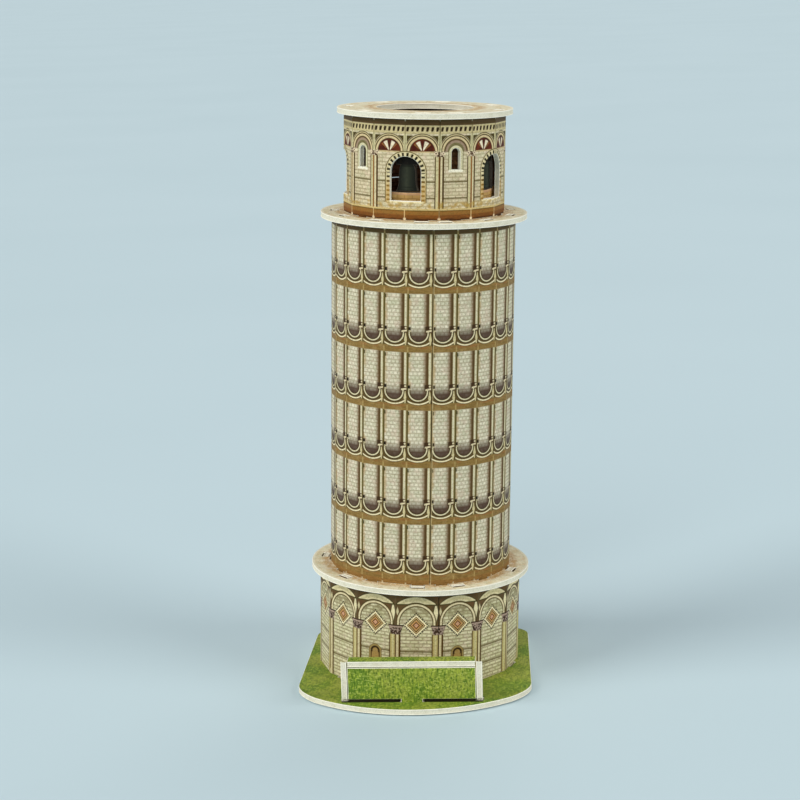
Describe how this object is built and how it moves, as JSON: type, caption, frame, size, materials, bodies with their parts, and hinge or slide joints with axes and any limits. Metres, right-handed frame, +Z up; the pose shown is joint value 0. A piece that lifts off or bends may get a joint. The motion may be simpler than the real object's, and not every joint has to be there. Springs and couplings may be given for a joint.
{
  "type": "miniature landmark model",
  "caption": "Foam-board puzzle model of a round arcaded bell tower leaning over a grass base with a blank name board; printed boards joined by tabs and slots.",
  "frame": {"origin": "underside of the base plate, below the point about which the tower leans", "axes": "+Z up, square to the base plate; the name board faces -Y; +X is to the viewer's right when facing the name board, and the tower leans towards it"},
  "size_m": [0.0861, 0.1013, 0.2096],
  "materials": {
    "stone_print": "satin printed paper face",
    "plate_print": "satin printed paper face",
    "grass_print": "satin printed paper face",
    "brick_print": "satin printed paper face",
    "plain_board": "matte white paper over foam"
  },
  "bodies": {
    "root": {"base_plate": "grass_print", "ground_wall": "stone_print", "ground_top_plate": "plate_print", "shaft_wall_right": "stone_print", "shaft_wall_left": "stone_print", "shaft_spine_across": "plain_board", "shaft_spine_along": "plain_board", "belfry_floor_plate": "plate_print", "belfry_wall": "stone_print", "bell_ring": "brick_print", "top_ring_plate": "plate_print", "sign_front_panel": "grass_print", "sign_top_panel": "grass_print", "sign_side_left": "plain_board", "sign_side_right": "plain_board"}
  },
  "joints": []
}
